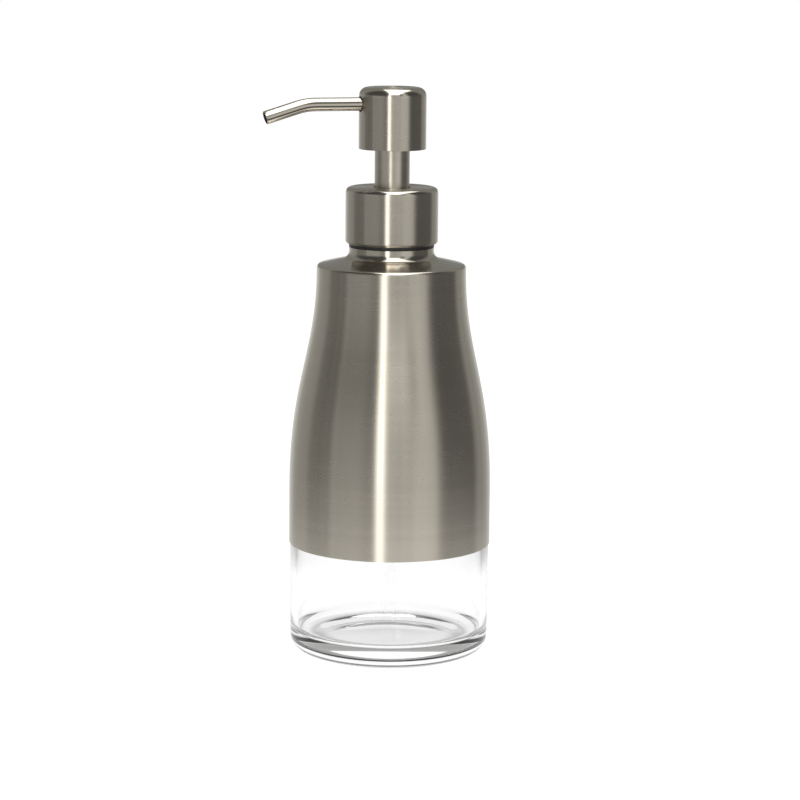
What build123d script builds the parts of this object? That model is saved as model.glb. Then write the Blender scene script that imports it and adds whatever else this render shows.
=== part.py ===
from build123d import *
import os
from math import cos, radians, sin, sqrt, tan

# Soap pump dispenser: a glass bottle in a steel jacket, closed by a screw-on lotion pump.
# Millimetres and degrees. Z points up, the bottle stands on Z = 0 with its axis on the
# Z axis, and the spout points along -X. The pump is at rest, its head fully up.

# ---- Bottle and jacket ----
glass_diameter = 69.0
glass_wall = 2.4
floor_thickness = 7.0
floor_corner = 3.0  # radius between the floor and the wall, inside
heel_radius = 5.5  # rounded edge that the bottle stands on
punt_radius = 26.0  # shallow dome in the underside
punt_depth = 1.5
exposed_glass = 38.1  # bare glass below the jacket
straight_side = 18.1  # straight lower stretch of the jacket
waist_diameter = 51.3  # at the top of the curved side
shoulder_height = 135.05  # where the side and the shoulder cone would meet in a sharp corner
shoulder_slope = 13.2
shoulder_round = 1.2
neck_flare = 3.0  # radius between the shoulder cone and the neck
lip_rise = 1.2  # straight stretch of the jacket's neck lip
lip_cover = 0.24  # jacket's neck lip above the glass ring that it covers
belly_hold = 0.51  # curve handles, as shares of the curved stretch's height
waist_hold = 0.39
jacket_wall = 0.35
rim_round = 0.7

# ---- Neck thread ----
neck_wall = 2.8
thread_pitch = 4.233
thread_turns = 1.5
thread_depth = 1.3
thread_crest = 1.2  # width of a ridge at its crest
thread_root = 2.4  # width of a ridge at its root
thread_below_rim = 2.05  # rim down to the centre of the ridge's upper end
ridge_sink = 0.3  # depth of a ridge inside the wall that it stands on

# ---- Collar ----
collar_height = 19.4
collar_gap = 1.15  # neck lip up to the collar
collar_round = 1.75
hem_round = 1.1
nut_wall = 1.4
nut_lid = 1.3
skirt_lift = 0.25  # neck lip up to the nut's skirt, which fills the gap under the collar
nut_recess = 0.6  # depth of the recess for the bush's flange in the nut's lid
shell_wall = 0.5  # sheet steel of the collar and the head

# ---- Pump ----
stroke = 11.5
sleeve_diameter = 12.0
sleeve_wall = 0.4
sleeve_grip = 2.0  # depth of the sleeve in the head's core
bush_wall = 0.85
bush_length = 9.75
bush_flange = 1.6  # width of the bush's flange on the nut's lid
housing_wall = 1.5
flange_thickness = 1.5
gasket_thickness = 1.2
stop_thickness = 1.1
bore_overrun = 1.3  # free bore below the stem's stop at full stroke
chamber_radius = 5.6
chamber_wall = 1.4
piston_height = 5.0
piston_depth = 2.8  # chamber mouth down to the piston's top, at rest
piston_lip_depth = 1.7
piston_lip_edge = 0.5  # thickness of a lip at its edge
stem_radius = 4.4
piston_rod_radius = 3.4
passage_radius = 1.6  # product passage through valves, stem and head
foot_radius = 5.0
foot_thickness = 1.5
spigot_radius = 2.4
spigot_length = 4.0
pad_height = 2.0  # pads that centre the stem in the sleeve
wire_diameter = 0.8
spring_coils = 5  # turns of the spring, open at both ends
spring_radius = 4.4  # centre line of the wire
spring_spare = 0.4  # left between the coils at full stroke
post_height = 1.6  # posts that centre the spring's ends
vent_radius = 0.6

# ---- Valves and dip tube ----
ball_radius = 2.4
ball_rise = 1.2
ball_cell_play = 0.5  # round the ball
cage_height = 2.0
cage_web = 0.8
cage_holes = 4
cage_hole_radius = 0.7
cage_hole_place = 2.0  # axis of the cage out to the holes
slot_width = 1.1  # cross slots that let the soap past the lifted outlet ball
slot_depth = 0.8
dip_tube_diameter = 5.0
dip_tube_wall = 0.7
dip_socket_depth = 8.5
dip_floor_gap = 2.0
dip_cut_angle = 35.0

# ---- Head and spout ----
head_diameter = 23.1
head_height = 21.0
head_round = 3.0
head_clearance = 1.5  # head above the collar at full stroke
core_lid = 1.25
core_rim_wall = 0.9
core_rise = 0.8  # head's lower edge up to the core's boss
core_rim_rise = 3.3  # head's lower edge up to the core's rim
core_boss_wall = 1.6
core_ribs = 4
rib_thickness = 1.2
spout_diameter = 4.6
spout_wall = 0.35
spout_drop = 5.7  # head's top down to the spout's axis
spout_root = 4.5  # axis of the head out to the spout's inner end
spout_run = 30.4  # axis of the head out to the bend
spout_reach = 44.6  # axis of the head out to the tip
spout_angle = 17.0
spout_bend_radius = 22.0
seal_wire = 1.4

# ---- Clearances ----
skin_gap = 0.05  # sheet steel over the piece that carries it
running_gap = 0.05  # sliding and turning fits
thread_play = 0.25  # crest of one thread to the root of the other
flank_play = 0.15  # between the flanks that carry the load
stop_gap = 0.1
stop_play = 0.3  # round the stem's stop
post_play = 0.2  # spring to the posts inside it
seat_gap = 0.05  # valve ball to its seat
lift_gap = 0.2  # valve ball to its stop, fully lifted
neck_clearance = 1.2
sleeve_hole_play = 0.5
skirt_play = 0.15  # nut's skirt in the turned-in edge of the shell
spout_hole_play = 0.45
jacket_neck_play = 0.55  # the jacket's lip slides over the thread
edge_round = 0.12  # broken edges of the sheet steel

# ---- Radii, from the sleeve outwards ----
sleeve_radius = sleeve_diameter / 2
sleeve_bore = sleeve_radius - sleeve_wall
bush_bore = sleeve_radius + running_gap
housing_bore = bush_bore + bush_wall
housing_radius = housing_bore + housing_wall
neck_bore = housing_radius + neck_clearance
neck_radius = neck_bore + neck_wall
thread_radius = neck_radius + thread_depth
nut_bore = thread_radius + thread_play
nut_ridge_radius = nut_bore - thread_depth
nut_radius = nut_bore + nut_wall
collar_radius = nut_radius + skin_gap + shell_wall
flange_radius = nut_ridge_radius - thread_play / 2
stop_radius = housing_bore - stop_play
glass_radius = glass_diameter / 2
jacket_radius = glass_radius + skin_gap + jacket_wall
waist_radius = waist_diameter / 2
lip_radius = thread_radius + jacket_neck_play + jacket_wall
glass_inset = jacket_wall + skin_gap
ball_cell = ball_radius + ball_cell_play
dip_tube_radius = dip_tube_diameter / 2
head_radius = head_diameter / 2
core_radius = head_radius - shell_wall - skin_gap
boss_radius = sleeve_radius + core_boss_wall
spout_radius = spout_diameter / 2

# ---- Heights, from the shoulder up ----
slope = radians(shoulder_slope)
straight_top = exposed_glass + straight_side
flare_start_radius = lip_radius + neck_flare * (1 - sin(slope))
lip_base = shoulder_height + (waist_radius - flare_start_radius) * tan(slope) + neck_flare * cos(slope)
lip_top = lip_base + lip_rise
collar_bottom = lip_top + collar_gap
collar_top = collar_bottom + collar_height
nut_bottom = collar_bottom + hem_round
nut_top = collar_top - shell_wall - skin_gap
nut_ceiling = nut_top - nut_lid
flange_top = nut_ceiling - running_gap
flange_bottom = flange_top - flange_thickness
rim_height = flange_bottom - gasket_thickness
thread_start = rim_height - thread_below_rim - thread_turns * thread_pitch
head_bottom = collar_top + head_clearance + stroke
head_top = head_bottom + head_height
spout_height = head_top - spout_drop

# Both threads have the same flanks. The nut's ridge lies this far below the glass ridge.
flank_slant = (thread_root - thread_crest) / 2 / thread_depth
ridge_offset = (thread_root + thread_crest) / 2 - flank_slant * thread_play + flank_play

# ---- Heights inside the pump, from the bush down ----
bush_bottom = flange_top - bush_length
stop_top = bush_bottom - stop_gap
stop_bottom = stop_top - stop_thickness
chamber_mouth = stop_bottom - stroke - bore_overrun
rod_shoulder = chamber_mouth - piston_depth
piston_top = rod_shoulder - stop_gap
piston_bottom = piston_top - piston_height
foot_top = piston_bottom - stop_gap
foot_bottom = foot_top - foot_thickness
spring_length = stroke + (spring_coils + 1) * wire_diameter + spring_spare
cage_top = foot_bottom - spring_length
chamber_floor = cage_top - cage_height

# A ball rests on a 45 degree cone that starts at the passage. These are the heights of its
# centre and of the stop above it, over the start of the cone.
ball_height = sqrt(2) * (ball_radius + seat_gap) - passage_radius
stop_height = ball_height + ball_radius + ball_rise + lift_gap
cone_height = ball_cell - passage_radius
inlet_seat = cage_top - cage_web - stop_height
socket_top = inlet_seat - passage_radius
housing_bottom = socket_top - dip_socket_depth
stem_top = spout_height - spout_radius - passage_radius
outlet_seat = stem_top - stop_height
core_bottom = head_bottom + core_rise
sleeve_top = core_bottom + sleeve_grip

os.makedirs("parts", exist_ok=True)


def flank(inset, bottom, corner, neck, flare, top):
    """Draw the side, shoulder and neck of the bottle, inset from the jacket's outer face."""
    belly = jacket_radius - inset
    waist = waist_radius - inset
    edge = shoulder_height - inset * (1 - sin(slope)) / cos(slope)
    turn = 90 - shoulder_slope
    corner_start = edge - corner * tan(radians(turn / 2))
    rise = corner_start - straight_top
    cone_end = neck + flare * (1 - sin(slope))
    side = Line((belly, bottom), (belly, straight_top))
    curve = Bezier(
        side @ 1,
        (belly, straight_top + belly_hold * rise),
        (waist, corner_start - waist_hold * rise),
        (waist, corner_start),
    )
    shoulder = JernArc(curve @ 1, (0, 1), corner, turn)
    cone = Line(shoulder @ 1, (cone_end, edge + (waist - cone_end) * tan(slope)))
    root = JernArc(cone @ 1, cone % 1, flare, -turn)
    return Line(root @ 1, (neck, top))


def drum_profile(radius, bottom, top, bottom_round, top_round):
    """Draw the half section of a drum about Z, its outer corners rounded."""
    with BuildLine() as outline:
        base = Line((0, bottom), (radius - bottom_round, bottom))
        heel = JernArc(base @ 1, (1, 0), bottom_round, 90)
        side = Line(heel @ 1, (radius, top - top_round))
        crown = JernArc(side @ 1, (0, 1), top_round, 90)
        Polyline(crown @ 1, (0, top), (0, bottom))
    make_face(outline.edges())


def tube_profile(inner, outer, bottom, top):
    """Draw the half section of a straight tube about Z."""
    with Locations((inner, bottom)):
        Rectangle(outer - inner, top - bottom, align=(Align.MIN, Align.MIN))


def add_ridge(start, base, crest):
    """Sweep one right-hand thread ridge that stands on a wall of radius base."""
    outward = 1 if crest > base else -1
    with BuildLine() as helix:
        Helix(thread_pitch, thread_turns * thread_pitch, base, center=(0, 0, start))
    profile = Plane(origin=helix.line @ 0, x_dir=(1, 0, 0), z_dir=helix.line % 0)
    sunk_half = thread_root / 2 + flank_slant * ridge_sink
    with BuildSketch(profile) as ridge:
        with BuildLine() as outline:
            Polyline(
                (-outward * ridge_sink, -sunk_half),
                (crest - base, -thread_crest / 2),
                (crest - base, thread_crest / 2),
                (-outward * ridge_sink, sunk_half),
                close=True,
            )
        make_face(outline.edges())
    sweep(ridge.sketch, path=helix.line, is_frenet=True)


# ---- Glass bottle ----
glass_lip = lip_top - lip_cover
floor_radius = glass_radius - glass_wall - floor_corner

with BuildPart() as glass_bottle:
    with BuildSketch(Plane.XZ):
        with BuildLine():
            punt = TangentArc((0, punt_depth), (punt_radius, 0), tangent=(1, 0))
            foot = Line(punt @ 1, (glass_radius - heel_radius, 0))
            heel = JernArc(foot @ 1, (1, 0), heel_radius, 90)
            neck_side = flank(
                inset=glass_inset,
                bottom=heel_radius,
                corner=shoulder_round - glass_inset,
                neck=lip_radius - glass_inset,
                flare=neck_flare + glass_inset,
                top=glass_lip,
            )
            Polyline(neck_side @ 1, (neck_radius, glass_lip), (neck_radius, rim_height - rim_round))
            rim = JernArc((neck_radius, rim_height - rim_round), (0, 1), rim_round, 90)
            mouth = Line(rim @ 1, (neck_bore + rim_round, rim_height))
            edge = JernArc(mouth @ 1, (-1, 0), rim_round, 90)
            inner_floor = Line((0, floor_thickness), (floor_radius, floor_thickness))
            cove = JernArc(inner_floor @ 1, (1, 0), floor_corner, 90)
            flank(
                inset=glass_inset + glass_wall,
                bottom=floor_thickness + floor_corner,
                corner=shoulder_round,
                neck=neck_bore,
                flare=neck_flare,
                top=rim_height - rim_round,
            )
            Line((0, punt_depth), (0, floor_thickness))
        make_face()
    revolve(axis=Axis.Z)
    add_ridge(thread_start, neck_radius, thread_radius)

glass_bottle.part.label = "glass_bottle"
export_step(glass_bottle.part, "parts/glass_bottle.step")

# ---- Steel jacket ----
with BuildPart() as steel_jacket:
    with BuildSketch(Plane.XZ):
        with BuildLine():
            flank(
                inset=0,
                bottom=exposed_glass,
                corner=shoulder_round,
                neck=lip_radius,
                flare=neck_flare,
                top=lip_top,
            )
            flank(
                inset=jacket_wall,
                bottom=exposed_glass,
                corner=shoulder_round - jacket_wall,
                neck=lip_radius - jacket_wall,
                flare=neck_flare + jacket_wall,
                top=lip_top,
            )
            Line((jacket_radius - jacket_wall, exposed_glass), (jacket_radius, exposed_glass))
            Line((lip_radius - jacket_wall, lip_top), (lip_radius, lip_top))
        make_face()
    revolve(axis=Axis.Z)
    lip_edges = steel_jacket.edges().filter_by(GeomType.CIRCLE).group_by(Axis.Z)
    fillet(lip_edges[0] + lip_edges[-1], edge_round)

steel_jacket.part.label = "steel_jacket"
export_step(steel_jacket.part, "parts/steel_jacket.step")

# ---- Collar: steel shell over a plastic nut ----
with BuildPart() as collar_shell:
    with BuildSketch(Plane.XZ):
        drum_profile(collar_radius, collar_bottom, collar_top, hem_round, collar_round)
    revolve(axis=Axis.Z)
    with BuildSketch(Plane.XZ):
        drum_profile(
            collar_radius - shell_wall,
            collar_bottom + shell_wall,
            collar_top - shell_wall,
            hem_round - shell_wall,
            collar_round - shell_wall,
        )
    revolve(axis=Axis.Z, mode=Mode.SUBTRACT)
    with BuildSketch(Plane.XY.offset(collar_bottom)):
        Circle(collar_radius - hem_round)
    extrude(amount=shell_wall, mode=Mode.SUBTRACT)
    with BuildSketch(Plane.XY.offset(collar_top)):
        Circle(sleeve_radius + sleeve_hole_play)
    extrude(amount=-shell_wall, mode=Mode.SUBTRACT)
    top_circles = collar_shell.edges().filter_by(GeomType.CIRCLE).group_by(Axis.Z)[-1]
    fillet(top_circles.sort_by(SortBy.RADIUS)[0], edge_round)

collar_shell.part.label = "collar_shell"
export_step(collar_shell.part, "parts/collar_shell.step")

nut_hole = housing_bore + sleeve_hole_play
skirt_radius = collar_radius - hem_round - skirt_play
bush_flange_radius = nut_hole + bush_flange

with BuildPart() as collar_nut:
    with BuildSketch(Plane.XZ):
        drum_profile(
            nut_radius,
            nut_bottom,
            nut_top,
            hem_round - shell_wall - skin_gap,
            collar_round - shell_wall - skin_gap,
        )
    revolve(axis=Axis.Z)
    with BuildSketch(Plane.XZ):
        tube_profile(0, nut_bore, nut_bottom, nut_ceiling)
        tube_profile(0, nut_hole, nut_ceiling, nut_top)
        tube_profile(0, bush_flange_radius + stop_gap, nut_top - nut_recess, nut_top)
    revolve(axis=Axis.Z, mode=Mode.SUBTRACT)
    with BuildSketch(Plane.XZ):
        tube_profile(nut_bore, skirt_radius, lip_top + skirt_lift, nut_bottom)
    revolve(axis=Axis.Z)
    add_ridge(thread_start - ridge_offset, nut_bore, nut_ridge_radius)
    with BuildSketch(Plane.XY.offset(lip_top + skirt_lift)):
        Circle(nut_radius)
    extrude(amount=-thread_pitch, mode=Mode.SUBTRACT)

collar_nut.part.label = "collar_nut"
export_step(collar_nut.part, "parts/collar_nut.step")

# ---- Gasket and pump housing ----
with BuildPart() as neck_gasket:
    with BuildSketch(Plane.XZ):
        tube_profile(neck_bore + stop_gap, neck_radius - stop_gap, rim_height, flange_bottom)
    revolve(axis=Axis.Z)

neck_gasket.part.label = "neck_gasket"
export_step(neck_gasket.part, "parts/neck_gasket.step")

cell_top = inlet_seat + cone_height
chamber_outside = chamber_radius + chamber_wall
socket_outside = dip_tube_radius + chamber_wall

with BuildPart() as pump_housing:
    with BuildSketch(Plane.XZ):
        with BuildLine():
            Polyline(
                (flange_radius, flange_bottom),
                (flange_radius, flange_top),
                (housing_bore, flange_top),
                (housing_bore, chamber_mouth + chamber_wall),
                (chamber_radius, chamber_mouth),
                (chamber_radius, chamber_floor),
                (ball_cell, chamber_floor),
                (ball_cell, cell_top),
                (passage_radius, inlet_seat),
                (passage_radius, socket_top),
                (dip_tube_radius, socket_top),
                (dip_tube_radius, housing_bottom),
                (socket_outside, housing_bottom),
                (socket_outside, socket_top),
                (chamber_outside, cell_top + chamber_wall),
                (chamber_outside, chamber_mouth - chamber_wall),
                (housing_radius, chamber_mouth),
                (housing_radius, flange_bottom),
                close=True,
            )
        make_face()
    revolve(axis=Axis.Z)
    with BuildSketch(Plane.YZ):
        with Locations((0, (chamber_mouth + bush_bottom) / 2)):
            Circle(vent_radius)
    extrude(amount=housing_radius, mode=Mode.SUBTRACT)

pump_housing.part.label = "pump_housing"
export_step(pump_housing.part, "parts/pump_housing.step")

# ---- Guide bush ----
with BuildPart() as guide_bush:
    with BuildSketch(Plane.XZ):
        tube_profile(bush_bore, housing_bore, bush_bottom, nut_top - stop_gap)
        tube_profile(bush_bore, bush_flange_radius, nut_top - nut_recess + running_gap, nut_top - stop_gap)
    revolve(axis=Axis.Z)

guide_bush.part.label = "guide_bush"
export_step(guide_bush.part, "parts/guide_bush.step")

# ---- Inlet valve ----
with BuildPart() as inlet_ball:
    with Locations((0, 0, inlet_seat + ball_height)):
        Sphere(ball_radius)

inlet_ball.part.label = "inlet_ball"
export_step(inlet_ball.part, "parts/inlet_ball.step")

post_radius = spring_radius - wire_diameter / 2 - post_play
web_bottom = cage_top - cage_web

with BuildPart() as ball_cage:
    with BuildSketch(Plane.XZ):
        tube_profile(0, chamber_radius, chamber_floor, cage_top)
        tube_profile(0, post_radius, cage_top, cage_top + post_height)
    revolve(axis=Axis.Z)
    with BuildSketch(Plane.XZ):
        tube_profile(0, ball_cell, chamber_floor, web_bottom)
        tube_profile(0, ball_cell, cage_top, cage_top + post_height)
    revolve(axis=Axis.Z, mode=Mode.SUBTRACT)
    with BuildSketch(Plane.XY.offset(web_bottom)):
        with PolarLocations(cage_hole_place, cage_holes):
            Circle(cage_hole_radius)
    extrude(amount=cage_web, mode=Mode.SUBTRACT)

ball_cage.part.label = "ball_cage"
export_step(ball_cage.part, "parts/ball_cage.step")

# ---- Dip tube: its lower end is cut at an angle so that it can't seal on the floor ----
dip_bottom = floor_thickness + dip_floor_gap
with BuildPart() as dip_tube:
    with BuildSketch(Plane.XY.offset(dip_bottom)):
        Circle(dip_tube_radius)
        Circle(dip_tube_radius - dip_tube_wall, mode=Mode.SUBTRACT)
    extrude(amount=socket_top - dip_bottom)
    split(
        bisect_by=Plane(origin=(dip_tube_radius, 0, dip_bottom)).rotated((0, dip_cut_angle, 0)),
        keep=Keep.TOP,
    )

dip_tube.part.label = "dip_tube"
export_step(dip_tube.part, "parts/dip_tube.step")

# ---- Return spring ----
wire_radius = wire_diameter / 2
coil_start = cage_top + wire_radius
coil_rise = spring_length - wire_diameter

with BuildPart() as return_spring:
    with BuildLine() as coil:
        Helix(coil_rise / spring_coils, coil_rise, spring_radius, center=(0, 0, coil_start))
    with BuildSketch(Plane(origin=coil.line @ 0, z_dir=coil.line % 0)):
        Circle(wire_radius)
    sweep(path=coil.line, is_frenet=True)

return_spring.part.label = "return_spring"
export_step(return_spring.part, "parts/return_spring.step")

# ---- Piston: a sleeve on the rod, with a cupped lip at each end ----
piston_bore = piston_rod_radius + running_gap
inner_lip = piston_bore + piston_lip_edge
piston_radius = chamber_radius - running_gap
outer_lip = piston_radius - piston_lip_edge
piston_waist = outer_lip - piston_lip_edge

with BuildPart() as piston:
    with BuildSketch(Plane.XZ):
        with BuildLine():
            Polyline(
                (piston_bore, piston_bottom),
                (inner_lip, piston_bottom),
                (inner_lip, piston_bottom + piston_lip_depth / 2),
                (outer_lip, piston_bottom),
                (piston_radius, piston_bottom),
                (piston_radius, piston_bottom + piston_lip_edge),
                (piston_waist, piston_bottom + piston_lip_depth),
                (piston_waist, piston_top - piston_lip_depth),
                (piston_radius, piston_top - piston_lip_edge),
                (piston_radius, piston_top),
                (outer_lip, piston_top),
                (inner_lip, piston_top - piston_lip_depth / 2),
                (inner_lip, piston_top),
                (piston_bore, piston_top),
                close=True,
            )
        make_face()
    revolve(axis=Axis.Z)

piston.part.label = "piston"
export_step(piston.part, "parts/piston.step")

# ---- Stem and its foot ----
pads = (stop_top + pad_height, head_bottom - 2 * pad_height)

with BuildPart() as stem:
    with BuildSketch(Plane.XZ):
        tube_profile(0, piston_rod_radius, foot_top, rod_shoulder)
        tube_profile(0, stem_radius, rod_shoulder, stem_top)
        tube_profile(0, stop_radius, stop_bottom, stop_top)
        for pad in pads:
            tube_profile(0, sleeve_bore, pad, pad + pad_height)
    revolve(axis=Axis.Z)
    with BuildSketch(Plane.XZ):
        tube_profile(0, passage_radius, foot_top, stem_top)
        tube_profile(0, spigot_radius, foot_top, foot_top + spigot_length)
        with BuildLine():
            Polyline(
                (0, outlet_seat),
                (passage_radius, outlet_seat),
                (ball_cell, outlet_seat + cone_height),
                (ball_cell, stem_top),
                (0, stem_top),
                close=True,
            )
        make_face()
    revolve(axis=Axis.Z, mode=Mode.SUBTRACT)

stem.part.label = "stem"
export_step(stem.part, "parts/stem.step")

with BuildPart() as stem_foot:
    with BuildSketch(Plane.XZ):
        tube_profile(passage_radius, foot_radius, foot_bottom, foot_top)
        tube_profile(passage_radius, post_radius, foot_bottom - post_height, foot_bottom)
        tube_profile(passage_radius, spigot_radius, foot_top, foot_top + spigot_length)
    revolve(axis=Axis.Z)

stem_foot.part.label = "stem_foot"
export_step(stem_foot.part, "parts/stem_foot.step")

with BuildPart() as stem_sleeve:
    with BuildSketch(Plane.XZ):
        tube_profile(sleeve_bore, sleeve_radius, stop_top, sleeve_top)
    revolve(axis=Axis.Z)

stem_sleeve.part.label = "stem_sleeve"
export_step(stem_sleeve.part, "parts/stem_sleeve.step")

with BuildPart() as outlet_ball:
    with Locations((0, 0, outlet_seat + ball_height)):
        Sphere(ball_radius)

outlet_ball.part.label = "outlet_ball"
export_step(outlet_ball.part, "parts/outlet_ball.step")

# ---- Head: steel shell over a plastic core ----
spout_axis = Plane(origin=(0, 0, spout_height), x_dir=(0, 1, 0), z_dir=(-1, 0, 0))

with BuildPart() as head_shell:
    with BuildSketch(Plane.XZ):
        drum_profile(head_radius, head_bottom, head_top, edge_round, head_round)
    revolve(axis=Axis.Z)
    with BuildSketch(Plane.XZ):
        drum_profile(
            head_radius - shell_wall,
            head_bottom,
            head_top - shell_wall,
            edge_round,
            head_round - shell_wall,
        )
    revolve(axis=Axis.Z, mode=Mode.SUBTRACT)
    with BuildSketch(spout_axis):
        Circle(spout_radius + spout_hole_play)
    extrude(amount=head_radius, mode=Mode.SUBTRACT)

head_shell.part.label = "head_shell"
export_step(head_shell.part, "parts/head_shell.step")

core_top = head_top - shell_wall - skin_gap
core_rim_bottom = head_bottom + core_rim_rise
core_round = head_round - shell_wall - skin_gap
core_rim_bore = core_radius - core_rim_wall
socket_radius = spout_radius + seal_wire + core_rim_wall
seal_bore = spout_radius + seal_wire
seal_seat = core_radius - core_rim_wall - seal_wire / 2

with BuildPart() as head_core:
    with BuildSketch(Plane.XZ):
        tube_profile(0, core_radius, core_top - core_lid, core_top)
        tube_profile(core_rim_bore, core_radius, core_rim_bottom, core_top)
        tube_profile(0, boss_radius, core_bottom, core_top)
    revolve(axis=Axis.Z)
    with BuildSketch(Plane.XY.offset(core_rim_bottom + core_rim_wall)):
        with PolarLocations(0, core_ribs):
            Rectangle(core_rim_bore + core_rim_wall / 2, rib_thickness, align=(Align.MIN, Align.CENTER))
    extrude(amount=core_top - core_lid / 2 - core_rim_bottom - core_rim_wall)
    with BuildSketch(spout_axis):
        Circle(socket_radius)
    extrude(amount=core_rim_bore + core_rim_wall / 2)
    with BuildSketch(Plane.XZ):
        drum_profile(core_radius, core_bottom, core_top, edge_round, core_round)
    revolve(axis=Axis.Z, mode=Mode.INTERSECT)
    with BuildSketch(Plane.XZ):
        tube_profile(0, sleeve_radius, core_bottom, sleeve_top)
        tube_profile(0, stem_radius, sleeve_top, stem_top)
        tube_profile(0, passage_radius, stem_top, spout_height + passage_radius)
    revolve(axis=Axis.Z, mode=Mode.SUBTRACT)
    with BuildSketch(spout_axis):
        Circle(passage_radius)
    extrude(amount=spout_root, mode=Mode.SUBTRACT)
    with BuildSketch(spout_axis.offset(spout_root)):
        Circle(spout_radius)
    extrude(amount=head_radius, mode=Mode.SUBTRACT)
    with BuildSketch(spout_axis.offset(seal_seat - seal_wire / 2)):
        Circle(seal_bore)
    extrude(amount=head_radius, mode=Mode.SUBTRACT)
    with BuildSketch(Plane.XY.offset(stem_top)):
        Rectangle(2 * ball_cell, slot_width)
        Rectangle(slot_width, 2 * ball_cell)
    extrude(amount=slot_depth, mode=Mode.SUBTRACT)

head_core.part.label = "head_core"
export_step(head_core.part, "parts/head_core.step")

# ---- Spout ----
spout_drop_run = spout_reach - spout_run
spout_tip = (-spout_reach, spout_height - spout_drop_run * tan(radians(spout_angle)))

with BuildPart() as spout_tube:
    with BuildLine(Plane.XZ) as spout_path:
        FilletPolyline(
            (-spout_root, spout_height),
            (-spout_run, spout_height),
            spout_tip,
            radius=spout_bend_radius,
        )
    with BuildSketch(Plane(origin=spout_path.line @ 0, z_dir=spout_path.line % 0)):
        Circle(spout_radius)
        Circle(spout_radius - spout_wall, mode=Mode.SUBTRACT)
    sweep(path=spout_path.line)
    tip_edges = spout_tube.edges().filter_by(GeomType.CIRCLE).group_by(Axis.X)[0]
    fillet(tip_edges, edge_round)

spout_tube.part.label = "spout_tube"
export_step(spout_tube.part, "parts/spout_tube.step")

with BuildPart() as spout_seal:
    with Locations(spout_axis.offset(seal_seat)):
        Torus(spout_radius + seal_wire / 2, seal_wire / 2)

spout_seal.part.label = "spout_seal"
export_step(spout_seal.part, "parts/spout_seal.step")
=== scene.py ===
import math

import bmesh
import bpy
from bpy.props import FloatProperty, FloatVectorProperty, IntProperty, PointerProperty
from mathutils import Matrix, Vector


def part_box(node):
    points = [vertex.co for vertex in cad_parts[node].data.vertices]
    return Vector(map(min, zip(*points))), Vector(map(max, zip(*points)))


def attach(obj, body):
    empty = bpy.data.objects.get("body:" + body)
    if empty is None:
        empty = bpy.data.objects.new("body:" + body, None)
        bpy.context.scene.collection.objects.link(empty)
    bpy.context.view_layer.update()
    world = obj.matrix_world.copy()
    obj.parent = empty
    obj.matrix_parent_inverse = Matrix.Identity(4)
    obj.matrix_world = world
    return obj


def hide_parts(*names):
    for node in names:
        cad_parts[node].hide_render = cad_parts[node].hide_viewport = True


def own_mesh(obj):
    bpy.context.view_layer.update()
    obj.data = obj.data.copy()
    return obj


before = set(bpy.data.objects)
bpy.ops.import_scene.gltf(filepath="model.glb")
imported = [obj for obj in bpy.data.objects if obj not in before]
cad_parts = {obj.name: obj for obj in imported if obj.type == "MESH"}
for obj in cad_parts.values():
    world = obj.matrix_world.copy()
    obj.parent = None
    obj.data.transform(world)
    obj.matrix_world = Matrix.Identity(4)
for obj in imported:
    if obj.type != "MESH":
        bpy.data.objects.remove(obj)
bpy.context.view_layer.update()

bl_info = {
    "name": "Soap Pump Dispenser",
    "version": (1, 0, 0),
    "blender": (4, 5, 0),
    "location": "View3D > Sidebar > Dispenser",
    "description": "Builds a glass and steel soap pump dispenser round its packed frame",
    "category": "Object",
}

MM = 0.001

glass_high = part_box("glass_bottle")[1]
jacket_low, jacket_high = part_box("steel_jacket")
collar_low, collar_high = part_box("collar_shell")
head_low, head_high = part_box("head_shell")
sleeve_low, sleeve_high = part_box("stem_sleeve")
seal_low, seal_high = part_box("spout_seal")
spring_low, spring_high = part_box("return_spring")


def length(name, description, default, **settings):
    """A size in metres that a user can change."""
    return FloatProperty(name=name, description=description, default=default, unit="LENGTH", **settings)


def angle(name, description, degrees):
    """An angle that a user can change."""
    return FloatProperty(name=name, description=description, default=math.radians(degrees), subtype="ANGLE")


def colour(name, description, default):
    """A colour that a user can change."""
    return FloatVectorProperty(
        name=name, description=description, default=default, subtype="COLOR", size=3, min=0, max=1
    )


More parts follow.
